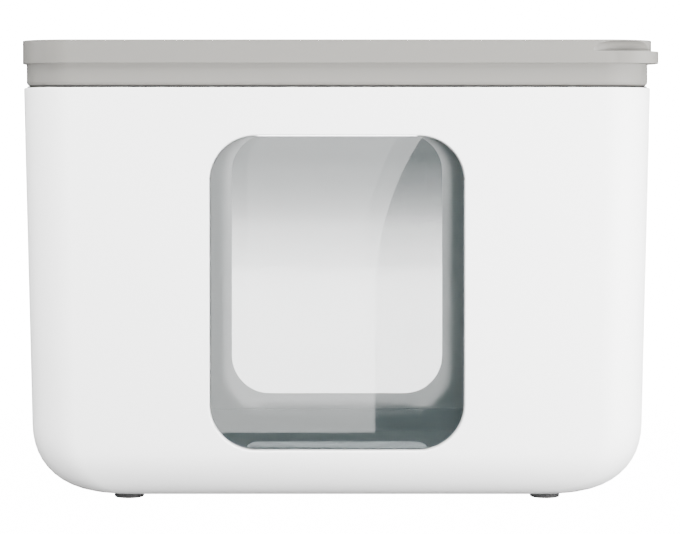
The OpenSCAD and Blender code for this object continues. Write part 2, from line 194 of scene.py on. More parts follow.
def pick(obj, kind, test):
    """In edit mode, selects only the vertices, edges or faces that pass the test."""
    bpy.ops.mesh.select_mode(type=kind)
    bpy.ops.mesh.select_all(action="DESELECT")
    shape = bmesh.from_edit_mesh(obj.data)
    items = {"VERT": shape.verts, "EDGE": shape.edges, "FACE": shape.faces}[kind]
    for item in items:
        if test(item):
            item.select_set(True)
    bmesh.update_edit_mesh(obj.data)


def name_piece(obj, name):
    obj.name = name
    obj.data.name = name
    return obj


def block(name, lo, hi):
    """A box from corner lo to corner hi, with its place in its mesh."""
    lo, hi = Vector(lo), Vector(hi)
    bpy.ops.object.select_all(action="DESELECT")
    bpy.ops.mesh.primitive_cube_add(size=1, location=(lo + hi) / 2)
    obj = bpy.context.object
    obj.scale = hi - lo
    bpy.ops.object.transform_apply(location=True, rotation=True, scale=True)
    return name_piece(obj, name)


def along(edge, axis):
    """True if an edge runs along an axis."""
    step = (edge.verts[0].co - edge.verts[1].co).normalized()
    return abs(step[axis]) > 0.999


def bevel(radius, segments):
    bpy.ops.mesh.bevel(offset_type="OFFSET", offset=radius, segments=segments, profile=0.5,
                       affect="EDGES", clamp_overlap=False)


def rounded_block(name, lo, hi, radius, axis, segments=16):
    """A box whose four edges along an axis are rounded."""
    obj = block(name, lo, hi)
    edit(obj)
    pick(obj, "EDGE", lambda e: along(e, axis))
    bevel(radius, segments)
    leave()
    return obj


def rod(name, start, end, radius, sides=32):
    """A round rod along X, Y or Z, with its place in its mesh."""
    start, end = Vector(start), Vector(end)
    span = end - start
    bpy.ops.object.select_all(action="DESELECT")
    bpy.ops.mesh.primitive_cylinder_add(vertices=sides, radius=radius, depth=span.length,
                                        location=(start + end) / 2,
                                        rotation=span.to_track_quat("Z", "Y").to_euler())
    bpy.ops.object.transform_apply(location=True, rotation=True, scale=True)
    return name_piece(bpy.context.object, name)


def combine(obj, tool, operation):
    """Cuts the tool out of a piece, or joins it on, and removes the tool."""
    change = obj.modifiers.new("Combine", "BOOLEAN")
    change.operation = operation
    change.solver = "EXACT"
    change.object = tool
    activate(obj)
    bpy.ops.object.modifier_apply(modifier=change.name)
    bpy.data.objects.remove(tool, do_unlink=True)
    return obj


def soften(obj, radius, test, sharp=30, segments=3):
    """Rounds the sharp edges whose two ends both pass the test."""
    limit = math.radians(sharp)
    edit(obj)
    pick(obj, "EDGE", lambda e: e.is_manifold and e.calc_face_angle(0) > limit
         and all(test(v.co) for v in e.verts))
    bevel(radius, segments)
    leave()


def shade(obj, angle=40):
    """Smooth shading that keeps flat faces flat."""
    activate(obj)
    bpy.ops.object.shade_smooth_by_angle(angle=math.radians(angle))
    weigh = obj.modifiers.new("Weigh", "WEIGHTED_NORMAL")
    weigh.keep_sharp = True
    weigh.weight = 90
    bpy.ops.object.modifier_apply(modifier=weigh.name)


def copy_of(name, node):
    """A new piece in a CAD node's shape: its mesh copied, merged, and cleared of flat triangles."""
    obj = bpy.data.objects.new(name, frame["nodes"][node].data.copy())
    bpy.context.scene.collection.objects.link(obj)
    obj.data.name = name
    obj.data.materials.clear()
    edit(obj)
    bpy.ops.mesh.customdata_custom_splitnormals_clear()
    bpy.ops.mesh.select_mode(type="VERT")
    bpy.ops.mesh.select_all(action="SELECT")
    bpy.ops.mesh.remove_doubles(threshold=0.002 * MM)
    bpy.ops.mesh.dissolve_limited(angle_limit=math.radians(0.6), use_dissolve_boundaries=False)
    leave()
    return obj


def settle(obj, body, slot, material, *nodes):
    """Gives a finished piece its material and its body, and hides the CAD nodes it stands for; the slot
    argument is not used.
    """
    obj.data.materials.clear()
    obj.data.materials.append(material)
    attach(obj, body)
    if nodes:
        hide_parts(*nodes)
    return obj


def near(value, target, slack=0.05 * MM):
    return abs(value - target) < slack


# ---------------------------------------------------------------- finishes

def nodes_of(tree, kind, **values):
    """Adds a node and sets its sockets by name."""
    node = tree.nodes.new(kind)
    for name, value in values.items():
        node.inputs[name.replace("_", " ")].default_value = value
    return node


def texture(tree, kind, **values):
    """Adds a texture that reads the piece's own coordinates."""
    node = nodes_of(tree, kind, **values)
    place = tree.nodes.new("ShaderNodeTexCoord")
    tree.links.new(place.outputs["Object"], node.inputs["Vector"])
    return node


def new_group(name, inputs, outputs):
    """An empty shader node group with named sockets."""
    group = bpy.data.node_groups.new(name, "ShaderNodeTree")
    for label, kind, value in inputs:
        socket = group.interface.new_socket(name=label, in_out="INPUT", socket_type=kind)
        socket.default_value = value
    for label, kind in outputs:
        group.interface.new_socket(name=label, in_out="OUTPUT", socket_type=kind)
    return group, group.nodes.new("NodeGroupInput"), group.nodes.new("NodeGroupOutput")


def math_node(tree, operation, first, second):
    node = tree.nodes.new("ShaderNodeMath")
    node.operation = operation
    for socket, value in zip(node.inputs, (first, second)):
        if isinstance(value, (int, float)):
            socket.default_value = value
        else:
            tree.links.new(value, socket)
    return node.outputs[0]


def mix_colour(tree, factor, first, second, blend="MIX"):
    node = tree.nodes.new("ShaderNodeMix")
    node.data_type = "RGBA"
    node.blend_type = blend
    for socket, value in zip((node.inputs[0], node.inputs[6], node.inputs[7]), (factor, first, second)):
        if isinstance(value, (int, float, tuple)):
            socket.default_value = value
        else:
            tree.links.new(value, socket)
    return node.outputs[2]


def moulded_grain():
    """The fine satin grain of an injection moulding: a height, and a mask of its slow swell."""
    group, inner, outer = new_group("Moulded grain",
                                    [("Scale", "NodeSocketFloat", 900.0),
                                     ("Waviness", "NodeSocketFloat", 0.3)],
                                    [("Height", "NodeSocketFloat"), ("Mask", "NodeSocketFloat")])
    fine = texture(group, "ShaderNodeTexNoise", Detail=3.0, Roughness=0.6)
    broad = texture(group, "ShaderNodeTexNoise", Scale=9.0, Detail=2.0, Roughness=0.5)
    group.links.new(inner.outputs["Scale"], fine.inputs["Scale"])
    swell = math_node(group, "MULTIPLY", broad.outputs["Fac"], inner.outputs["Waviness"])
    group.links.new(math_node(group, "ADD", fine.outputs["Fac"], swell), outer.inputs["Height"])
    group.links.new(broad.outputs["Fac"], outer.inputs["Mask"])
    return group


def tone_drift():
    """Slow changes of tone over a surface."""
    group, inner, outer = new_group("Tone drift",
                                    [("Color", "NodeSocketColor", (0.8, 0.8, 0.8, 1)),
                                     ("Amount", "NodeSocketFloat", 0.04), ("Scale", "NodeSocketFloat", 4.0)],
                                    [("Color", "NodeSocketColor")])
    slow = texture(group, "ShaderNodeTexNoise", Detail=4.0, Roughness=0.55)
    group.links.new(inner.outputs["Scale"], slow.inputs["Scale"])
    swing = math_node(group, "MULTIPLY", math_node(group, "SUBTRACT", slow.outputs["Fac"], 0.5),
                      inner.outputs["Amount"])
    gain = math_node(group, "ADD", swing, 1.0)
    scaled = group.nodes.new("ShaderNodeVectorMath")
    scaled.operation = "SCALE"
    group.links.new(inner.outputs["Color"], scaled.inputs[0])
    group.links.new(gain, scaled.inputs["Scale"])
    group.links.new(scaled.outputs[0], outer.inputs["Color"])
    return group


def edge_wear_and_highlight():
    """A mask that is 1 at edges, where they are rubbed by use and where a painted highlight brightens them.
    """
    group, inner, outer = new_group("Edge wear and painted highlight",
                                    [("Radius", "NodeSocketFloat", 0.8 * MM),
                                     ("Amount", "NodeSocketFloat", 0.5)],
                                    [("Mask", "NodeSocketFloat")])
    round_off = group.nodes.new("ShaderNodeBevel")
    round_off.samples = 4
    group.links.new(inner.outputs["Radius"], round_off.inputs["Radius"])
    shape = group.nodes.new("ShaderNodeNewGeometry")
    turn = group.nodes.new("ShaderNodeVectorMath")
    turn.operation = "DOT_PRODUCT"
    group.links.new(round_off.outputs["Normal"], turn.inputs[0])
    group.links.new(shape.outputs["True Normal"], turn.inputs[1])
    bend = math_node(group, "MULTIPLY", math_node(group, "SUBTRACT", 1.0, turn.outputs["Value"]), 6.0)
    patchy = texture(group, "ShaderNodeTexNoise", Scale=60.0, Detail=3.0)
    # The edge mask, for both rubbing and the painted highlight.
    rubbed = math_node(group, "MULTIPLY", bend, patchy.outputs["Fac"])
    limited = group.nodes.new("ShaderNodeClamp")
    group.links.new(math_node(group, "MULTIPLY", rubbed, inner.outputs["Amount"]), limited.inputs["Value"])
    group.links.new(limited.outputs[0], outer.inputs["Mask"])
    return group


def handling():
    """Faint smudges and hairlines left by handling: a mask around 0 to 1."""
    group, inner, outer = new_group("Handling",
                                    [("Scale", "NodeSocketFloat", 12.0), ("Amount", "NodeSocketFloat", 1.0)],
                                    [("Mask", "NodeSocketFloat")])
    smear = texture(group, "ShaderNodeTexNoise", Detail=5.0, Roughness=0.7, Distortion=0.6)
    group.links.new(inner.outputs["Scale"], smear.inputs["Scale"])
    span = nodes_of(group, "ShaderNodeMapRange", From_Min=0.45, From_Max=0.75)
    group.links.new(smear.outputs["Fac"], span.inputs["Value"])
    group.links.new(math_node(group, "MULTIPLY", span.outputs["Result"], inner.outputs["Amount"]),
                    outer.inputs["Mask"])
    return group


GROUPS = {}


def effect(tree, name, **values):
    """Places one of the shared effects in a material, with its own values."""
    makers = {"grain": moulded_grain, "drift": tone_drift, "wear_and_highlight": edge_wear_and_highlight, "handling": handling}
    if name not in GROUPS:
        GROUPS[name] = makers[name]()
    node = tree.nodes.new("ShaderNodeGroup")
    node.node_tree = GROUPS[name]
    for label, value in values.items():
        node.inputs[label].default_value = value
    return node


def new_material(name):
    material = bpy.data.materials.new(name)
    material.use_nodes = True
    shader = material.node_tree.nodes["Principled BSDF"]
    return material, material.node_tree, shader


def opaque(rgb, gain=1.0):
    return (rgb[0] * gain, rgb[1] * gain, rgb[2] * gain, 1.0)


def roughness_from(tree, shader, mask, low, high):
    span = nodes_of(tree, "ShaderNodeMapRange", To_Min=low, To_Max=high)
    tree.links.new(mask, span.inputs["Value"])
    tree.links.new(span.outputs["Result"], shader.inputs["Roughness"])


def bump_from(tree, shader, height, strength, distance):
    bump = nodes_of(tree, "ShaderNodeBump", Strength=strength, Distance=distance)
    tree.links.new(height, bump.inputs["Height"])
    tree.links.new(bump.outputs["Normal"], shader.inputs["Normal"])


def moulded_plastic(name, rgb, rough=(0.36, 0.46), scale=900.0, depth=0.10, drift=0.03, wear_and_highlight=0.35):
    """Satin moulded plastic: fine grain, a slow drift of tone, and edges painted a little brighter, partly as
    rubbing from use and partly as a painted highlight.
    """
    material, tree, shader = new_material(name)
    grain = effect(tree, "grain", Scale=scale)
    tone = effect(tree, "drift", Color=opaque(rgb), Amount=drift)
    rub_and_highlight = effect(tree, "wear_and_highlight", Amount=wear_and_highlight)
    # Painted highlight: edges are lighter, partly as rubbing from use and partly standing in for the glint
    # along the rims.
    worn_and_highlit = mix_colour(tree, rub_and_highlight.outputs["Mask"], tone.outputs["Color"], opaque(rgb, 1.2))
    tree.links.new(worn_and_highlit, shader.inputs["Base Color"])
    smear = effect(tree, "handling")
    roughness_from(tree, shader, smear.outputs["Mask"], rough[1], rough[0])
    bump_from(tree, shader, grain.outputs["Height"], depth, 0.12 * MM)
    return material


def smoked_clear(rgb):
    """Clear smoked sheet: dark tint, polished, with faint wiping marks in the gloss."""
    material, tree, shader = new_material("Smoked clear sheet")
    tone = effect(tree, "drift", Color=opaque(rgb), Amount=0.12, Scale=6.0)
    tree.links.new(tone.outputs["Color"], shader.inputs["Base Color"])
    smear = effect(tree, "handling", Scale=9.0)
    roughness_from(tree, shader, smear.outputs["Mask"], 0.015, 0.05)
    density = nodes_of(tree, "ShaderNodeMapRange", To_Min=0.305, To_Max=0.315)
    tree.links.new(smear.outputs["Mask"], density.inputs["Value"])
    tree.links.new(density.outputs["Result"], shader.inputs["Alpha"])
    shader.inputs["IOR"].default_value = 1.6
    shader.inputs["Specular IOR Level"].default_value = 1.0
    return material


def rubber(name, rgb, rough=(0.62, 0.8), scale=1400.0):
    """Matt rubber with a speckled skin and dust in its pores."""
    material, tree, shader = new_material(name)
    grain = effect(tree, "grain", Scale=scale, Waviness=0.1)
    tone = effect(tree, "drift", Color=opaque(rgb), Amount=0.35, Scale=40.0)
    dust = effect(tree, "handling", Scale=35.0, Amount=0.35)
    dusty = mix_colour(tree, dust.outputs["Mask"], tone.outputs["Color"], opaque(rgb, 1.8))
    tree.links.new(dusty, shader.inputs["Base Color"])
    roughness_from(tree, shader, dust.outputs["Mask"], rough[0], rough[1])
    bump_from(tree, shader, grain.outputs["Height"], 0.3, 0.15 * MM)
    shader.inputs["Specular IOR Level"].default_value = 0.2
    return material


def turned_steel():
    """Bright plated steel with fine turning lines and darker rubbed patches."""
    material, tree, shader = new_material("Plated steel")
    place = tree.nodes.new("ShaderNodeTexCoord")
    stretch = tree.nodes.new("ShaderNodeMapping")
    stretch.inputs["Scale"].default_value = (40.0, 1.0, 40.0)
    lines = nodes_of(tree, "ShaderNodeTexNoise", Scale=80.0, Detail=4.0)
    tree.links.new(place.outputs["Object"], stretch.inputs["Vector"])
    tree.links.new(stretch.outputs["Vector"], lines.inputs["Vector"])
    tone = mix_colour(tree, lines.outputs["Fac"], (0.52, 0.52, 0.53, 1), (0.72, 0.72, 0.71, 1))
    tree.links.new(tone, shader.inputs["Base Color"])
    roughness_from(tree, shader, lines.outputs["Fac"], 0.22, 0.38)
    bump_from(tree, shader, lines.outputs["Fac"], 0.08, 0.05 * MM)
    shader.inputs["Metallic"].default_value = 1.0
    return material


def open_foam(rgb):
    """Open-cell carbon foam: cells painted dark as shade in the pores, between lighter struts."""
    material, tree, shader = new_material("Carbon foam")
    cells = texture(tree, "ShaderNodeTexVoronoi", Scale=520.0)
    cells.feature = "DISTANCE_TO_EDGE"
    strut = nodes_of(tree, "ShaderNodeMapRange", From_Min=0.02, From_Max=0.22, To_Min=1.0, To_Max=0.0)
    tree.links.new(cells.outputs["Distance"], strut.inputs["Value"])
    # Painted shade: the cells are darkened as the pores' shade; the struts are lighter.
    tone = mix_colour(tree, strut.outputs["Result"], opaque(rgb, 0.4), opaque(rgb, 2.2))
    tree.links.new(tone, shader.inputs["Base Color"])
    roughness_from(tree, shader, strut.outputs["Result"], 0.95, 0.8)
    bump_from(tree, shader, strut.outputs["Result"], 0.9, 0.6 * MM)
    return material


def frosted_bar(rgb):
    """Frosted plastic over the flap's magnets."""
    material, tree, shader = new_material("Frosted bar")
    grain = effect(tree, "grain", Scale=2200.0, Waviness=0.1)
    tone = effect(tree, "drift", Color=opaque(rgb), Amount=0.08, Scale=20.0)
    tree.links.new(tone.outputs["Color"], shader.inputs["Base Color"])
    roughness_from(tree, shader, grain.outputs["Mask"], 0.35, 0.5)
    bump_from(tree, shader, grain.outputs["Height"], 0.15, 0.1 * MM)
    return material


FINISHES = {}


def finish(name):
    """The material of that name, made the first time that it is asked for."""
    hues = bpy.context.scene.litter_box_colours
    makers = {
        # The tub's edges get a strong painted highlight, for the bright rim round the doorway.
        "tub_white": lambda: moulded_plastic("Tub white", hues.tub, wear_and_highlight=1.2),
        "hood_grey": lambda: moulded_plastic("Hood grey", hues.hood, rough=(0.42, 0.52), depth=0.16,
                                             drift=0.05),
        "pan_grey": lambda: moulded_plastic("Pan grey", hues.pan, rough=(0.3, 0.42), scale=700.0),
        "inner_grey": lambda: moulded_plastic("Inner grey", hues.inner, rough=(0.4, 0.5), depth=0.2),
        "nylon": lambda: moulded_plastic("Natural nylon", (0.72, 0.70, 0.64), rough=(0.3, 0.4)),
        "magnet": lambda: moulded_plastic("Coated magnet", (0.06, 0.06, 0.065), rough=(0.25, 0.35),
                                          wear_and_highlight=1.0),
        "smoked_clear": lambda: smoked_clear(hues.smoke),
        "dark_seal": lambda: rubber("Dark seal", hues.seal),
        "clear_seal": lambda: rubber("Clear seal", hues.clear_seal, rough=(0.35, 0.5)),
        "foot_rubber": lambda: rubber("Foot rubber", hues.rubber, scale=900.0),
        "steel": turned_steel,
        "bar_grey": lambda: frosted_bar(hues.bar),
        "carbon_foam": lambda: open_foam(hues.foam),
    }
    if name not in FINISHES:
        FINISHES[name] = makers[name]()
    return FINISHES[name]


# ---------------------------------------------------------------- tub

def upright(name, grow, y0, y1, segments=20):
    """A rounded block standing around the doorway, grown by some distance all round."""
    sizes = bpy.context.scene.litter_box_sizes
    out = grow - sizes.pane_edge
    return rounded_block(name, (PANE_LO.x - out, y0, PANE_LO.z - out), (PANE_HI.x + out, y1, PANE_HI.z + out),
                         sizes.door_corner + grow, 1, segments)


def tub_outline(sizes, steps=12):
    """Half width, half depth and height of the tub's outer skin, from its rim down."""
    half_x, half_y = (TUB_HI.x - TUB_LO.x) / 2, (TUB_HI.y - TUB_LO.y) / 2
    base_x, base_y = half_x - sizes.draft - sizes.base, half_y - sizes.edge
    yield half_x, half_y, TUB_HI.z
    yield half_x, half_y, TUB_HI.z - sizes.ledge_thick
    for i in range(steps + 1):
        turn = math.radians(90 * i / steps)
        rise = sizes.base * (1 - math.sin(turn))
        drop = max(sizes.edge - rise, 0)
        yield (base_x + sizes.base * math.cos(turn), base_y + math.sqrt(sizes.edge ** 2 - drop ** 2),
               TUB_LO.z + rise)


def draw_shell(name, levels, corner, segments, mouth):
    """An open shell, drawn from a rounded rectangle through levels, with no faces at its mouth's height."""
    width, depth, height = levels[0]
    bpy.ops.object.select_all(action="DESELECT")
    bpy.ops.mesh.primitive_plane_add(size=2, location=(CENTRE_X, CENTRE_Y, height))
    obj = bpy.context.object
    obj.scale = (width, depth, 1)
    bpy.ops.object.transform_apply(location=True, rotation=True, scale=True)
    edit(obj)
    bpy.ops.mesh.select_mode(type="VERT")
    bpy.ops.mesh.select_all(action="SELECT")
    bpy.ops.mesh.bevel(offset=corner, segments=segments, profile=0.5, affect="VERTICES")
    bpy.ops.mesh.select_mode(type="FACE")
    bpy.ops.mesh.select_all(action="SELECT")
    for next_width, next_depth, next_height in levels[1:]:
        bpy.ops.mesh.extrude_region_move(TRANSFORM_OT_translate={"value": (0, 0, next_height - height)})
        bpy.ops.transform.resize(value=(next_width / width, next_depth / depth, 1),
                                 center_override=(CENTRE_X, CENTRE_Y, next_height))
        width, depth, height = next_width, next_depth, next_height
    pick(obj, "FACE", lambda f: near(f.calc_center_median().z, mouth))
    bpy.ops.mesh.delete(type="FACE")
    bpy.ops.mesh.select_all(action="SELECT")
    bpy.ops.mesh.normals_make_consistent(inside=False)
    leave()
    return name_piece(obj, name)


def give_wall(obj, thickness):
    wall = obj.modifiers.new("Wall", "SOLIDIFY")
    wall.thickness = thickness
    wall.offset = -1
    wall.use_even_offset = True
    activate(obj)
    bpy.ops.object.modifier_apply(modifier=wall.name)


def draw_ledge(obj, sizes):
    """Extrudes the top strip of the inner wall inwards into the ledge that carries the collar."""
    middle = Vector((CENTRE_X, CENTRE_Y, 0))

    def inner_strip(face):
        place = face.calc_center_median()
        inward = (middle - place).to_2d().dot(face.normal.to_2d()) > 0
        return place.z > TUB_HI.z - sizes.ledge_thick and abs(face.normal.z) < 0.3 and inward

    edit(obj)
    pick(obj, "FACE", inner_strip)
    bpy.ops.mesh.extrude_region_shrink_fatten(
        TRANSFORM_OT_shrink_fatten={"value": sizes.ledge - sizes.wall, "use_even_offset": True})
    leave()


def add_frame_bosses(obj, sizes):
    """The four short posts behind the front wall that the door frame is screwed to."""
    lo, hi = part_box("door_frame_screws")
    start = TUB_LO.y + sizes.wall - sizes.wall / 2
    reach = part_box("door_frame")[1].y - FRAME_EAR
    for x in (lo.x + SCREW_HEAD, hi.x - SCREW_HEAD):
        for z in (lo.z + SCREW_HEAD, hi.z - SCREW_HEAD):
            post = rod("post", (x, start, z), (x, reach, z), POST)
            combine(obj, post, "UNION")


class LITTERBOX_OT_tub(Operator):
    """Model the tub's shell, with its ledge, doorway and rear window"""
    bl_idname = "litterbox.tub"
    bl_label = "Tub"

    def execute(self, context):
        sizes = context.scene.litter_box_sizes
        obj = draw_shell("tub_shell", list(tub_outline(sizes)), sizes.corner, 14, TUB_HI.z)
        give_wall(obj, sizes.wall)
        draw_ledge(obj, sizes)
        add_frame_bosses(obj, sizes)
        front, rear, past = TUB_LO.y, TUB_HI.y, 5 * MM
        combine(obj, upright("doorway", 0, front - past, front + sizes.wall + past), "DIFFERENCE")
        combine(obj, upright("window", 0, rear - sizes.wall - past, rear + past), "DIFFERENCE")
        combine(obj, upright("rebate", sizes.pane_edge + 0.4 * MM, SEAL_LO.y, rear + past), "DIFFERENCE")

        def at_doorway(place):
            return (near(place.y, front) and place.z < TUB_HI.z - BELOW_RIM
                    and abs(place.x - CENTRE_X) < DOOR_SIDE)

        soften(obj, sizes.door_round, at_doorway)
        soften(obj, sizes.soft_edge, lambda place: near(place.z, TUB_HI.z))
        soften(obj, sizes.fine_edge, lambda place: near(place.y, rear) and place.z < TUB_HI.z - BELOW_RIM)
        shade(obj)
        settle(obj, "box", "tub_white", finish("tub_white"), "tub")
        return {"FINISHED"}


# ---------------------------------------------------------------- flap, panes and door frame

class LITTERBOX_OT_flap(Operator):
    """Model the smoked flap with its journals, and the magnet bar along its foot"""
    bl_idname = "litterbox.flap"
    bl_label = "Flap"

    def execute(self, context):
        sizes = context.scene.litter_box_sizes
        panel = upright("flap_panel", -sizes.flap_gap, FLAP_LO.y, FLAP_HI.y, segments=28)
        soften(panel, sizes.fine_edge, lambda place: True, segments=2)
        inset = PANE_HI.x - sizes.pane_edge - sizes.flap_gap - JOURNAL_ROOT
        for near_x, far_x in ((inset, FLAP_HI.x), (2 * CENTRE_X - inset, FLAP_LO.x)):
            pin = rod("journal", (near_x, PIVOT.y, PIVOT.z), (far_x, PIVOT.y, PIVOT.z), sizes.journal, 24)
            combine(panel, pin, "UNION")
        shade(panel)
        settle(panel, "flap", "smoked_clear", finish("smoked_clear"), "flap_pane")

        bar = block("flap_magnet_strip", BAR_LO, BAR_HI)
        middle = (BAR_LO + BAR_HI) / 2
        edit(bar)
        bpy.ops.mesh.select_all(action="SELECT")
        bpy.ops.transform.resize(value=(0.5, 1, 1), center_override=middle)
        pick(bar, "EDGE", lambda e: along(e, 1) and e.verts[0].co.z > middle.z)
        bevel(0.95 * (BAR_HI.z - BAR_LO.z), 8)
        bpy.ops.mesh.select_all(action="SELECT")
        bpy.ops.transform.resize(value=(2, 1, 1), center_override=middle)
        leave()
        soften(bar, 0.7 * MM, lambda place: near(place.y, BAR_HI.y), segments=3)
        shade(bar)
        settle(bar, "flap", "bar_grey", finish("bar_grey"), "flap_magnet_bar")
        return {"FINISHED"}


class LITTERBOX_OT_window(Operator):
    """Model the rear window's pane and the seal behind it"""
    bl_idname = "litterbox.window"
    bl_label = "Rear window"

    def execute(self, context):
        sizes = context.scene.litter_box_sizes
        pane = upright("rear_window_glazing", sizes.pane_edge, PANE_LO.y, PANE_HI.y, segments=24)
        soften(pane, 0.3 * MM, lambda place: True, segments=2)
        shade(pane)
        settle(pane, "box", "smoked_clear", finish("smoked_clear"), "rear_window_pane")

        seal = upright("rear_window_gasket", sizes.pane_edge, SEAL_LO.y, SEAL_HI.y, segments=24)
        inside = sizes.pane_edge - sizes.seal_width
        hole = upright("hole", inside, SEAL_LO.y - MM, SEAL_HI.y + MM, segments=24)
        combine(seal, hole, "DIFFERENCE")
        soften(seal, 0.15 * MM, lambda place: near(place.y, SEAL_LO.y), segments=2)
        shade(seal)
        settle(seal, "box", "clear_seal", finish("clear_seal"), "rear_window_seal")
        return {"FINISHED"}


class LITTERBOX_OT_door_frame(Operator):
    """Finish the door frame behind the doorway, with its edges rounded"""
    bl_idname = "litterbox.door_frame"
    bl_label = "Door frame"

    def execute(self, context):
        sizes = context.scene.litter_box_sizes
        lo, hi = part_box("door_frame")
        obj = copy_of("door_surround", "door_frame")

        def ring_edge(place):
            return (near(place.y, hi.y) and abs(place.x - CENTRE_X) < FRAME_SIDE
                    and place.z > lo.z + FRAME_FOOT)

        soften(obj, sizes.fine_edge, ring_edge, segments=2)
        shade(obj)
        settle(obj, "box", "tub_white", finish("tub_white"), "door_frame")
        return {"FINISHED"}


# ---------------------------------------------------------------- hood

class LITTERBOX_OT_collar(Operator):
    """Finish the hood collar with rounded edges, and the seal under it"""
    bl_idname = "litterbox.collar"
    bl_label = "Hood collar"

    def execute(self, context):
        sizes = context.scene.litter_box_sizes
        obj = copy_of("hood_collar_band", "hood_collar")
        seal_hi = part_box("collar_seal")[1]
        foot, top = seal_hi.z, top_of_collar()

        def foot_edge(place):
            return near(place.z, foot) and beyond(place, seal_hi, sizes.corner - COLLAR_IN) > 0.2 * MM

        soften(obj, sizes.band_round, foot_edge, segments=6)
        soften(obj, 0.3 * MM, lambda place: near(place.z, top), segments=2)
        shade(obj)
        settle(obj, "box", "hood_grey", finish("hood_grey"), "hood_collar")

        seal = copy_of("collar_gasket", "collar_seal")
        soften(seal, 0.25 * MM, lambda place: near(place.z, seal_hi.z), segments=2)
        shade(seal)
        settle(seal, "box", "dark_seal", finish("dark_seal"), "collar_seal")
        return {"FINISHED"}


def top_of_collar():
    """Height of the collar's flat top, under the lid's gap."""
    heights = {}
    for vertex in frame["nodes"]["hood_collar"].data.vertices:
        key = round(vertex.co.z, 5)
        heights[key] = heights.get(key, 0) + 1
    return max(z for z, count in heights.items() if count > 40)


def beyond(place, hi, radius):
    """How far a point lies outside a rounded rectangle that reaches to hi, around the tub's middle."""
    x = max(abs(place.x - CENTRE_X) - (hi.x - CENTRE_X) + radius, 0)
    y = max(abs(place.y - CENTRE_Y) - (hi.y - CENTRE_Y) + radius, 0)
    return math.hypot(x, y) - radius


class LITTERBOX_OT_lid(Operator):
    """Finish the hinged lid with its finger scoop and tab, and its seal"""
    bl_idname = "litterbox.lid"
    bl_label = "Lid"

    def execute(self, context):
        sizes = context.scene.litter_box_sizes
        obj = copy_of("hood_lid", "lid")
        lid_z = LID_HI.z - sizes.lid_height
        seal_lo, seal_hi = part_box("lid_seal")

        def rim_edge(place):
            low = lid_z - sizes.drip - 0.05 * MM < place.z < lid_z + 0.05 * MM
            return low and place.y < CENTRE_Y and beyond(place, seal_hi, LID_SEAL_CORNER) > LID_RIM_OUT

        def scoop_edge(place):
            return (place.x > CENTRE_X + SCOOP_X and place.y < CENTRE_Y - SCOOP_Y
                    and lid_z + SCOOP_LOW < place.z < LID_HI.z - SCOOP_HIGH)

        edit(obj)
        pick(obj, "VERT", lambda v: rim_edge(v.co))
        bpy.ops.transform.translate(value=(0, 0, -sizes.drip))
        leave()
        soften(obj, 0.55 * MM, lambda place: near(place.z, LID_HI.z) and not over_filter(place))
        soften(obj, 0.6 * MM, rim_edge)
        soften(obj, 0.35 * MM, scoop_edge, sharp=25, segments=2)
        shade(obj)
        settle(obj, "lid", "hood_grey", finish("hood_grey"), "lid")

        seal = copy_of("lid_gasket", "lid_seal")
        soften(seal, 0.8 * MM, lambda place: near(place.z, seal_lo.z))
        shade(seal)
        settle(seal, "lid", "dark_seal", finish("dark_seal"), "lid_seal")
        return {"FINISHED"}


def over_filter(place):
    lo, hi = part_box("filter_tray")
    return lo.x < place.x < hi.x and lo.y < place.y < hi.y


# ---------------------------------------------------------------- pan, filter, feet and fasteners

class LITTERBOX_OT_pan(Operator):
    """Model the shallow litter pan with its flared wall and rolled rim"""
    bl_idname = "litterbox.pan"
    bl_label = "Litter pan"

    def execute(self, context):
        sizes = context.scene.litter_box_sizes
        levels = list(pan_outline(sizes))
        obj = draw_shell("litter_tray", levels, PAN_CORNER, 10, PAN_HI.z)
        give_wall(obj, sizes.pan_wall)
        soften(obj, 0.8 * MM, lambda place: place.z > PAN_HI.z - 0.2 * MM, segments=3)
        shade(obj, 50)
        settle(obj, "box", "pan_grey", finish("pan_grey"), "litter_pan")
        return {"FINISHED"}


def pan_outline(sizes, steps=5):
    """Half width, half depth and height of the pan's outer skin, from its floor to its rim."""
    half_x, half_y = (PAN_HI.x - PAN_LO.x) / 2, (PAN_HI.y - PAN_LO.y) / 2
    flare_x, flare_y = PAN_FLARE * (PAN_HI.z - PAN_LO.z), PAN_FLARE_Y
    yield half_x - flare_x - PAN_FILLET, half_y - flare_y - PAN_FILLET, PAN_LO.z
    half_x, half_y = half_x - PAN_CLEAR, half_y - PAN_CLEAR
    for i in range(1, steps + 1):
        turn = math.radians(PAN_TURN * i / steps)
        yield (half_x - flare_x - PAN_FILLET + PAN_FILLET * math.sin(turn),
               half_y - flare_y - PAN_FILLET + PAN_FILLET * math.sin(turn),
               PAN_LO.z + PAN_FILLET * (1 - math.cos(turn)))
    yield half_x - PAN_LIP, half_y - PAN_LIP, PAN_HI.z - sizes.pan_rim - PAN_RIM_STEP
    yield half_x, half_y, PAN_HI.z - sizes.pan_rim
    yield half_x, half_y, PAN_HI.z


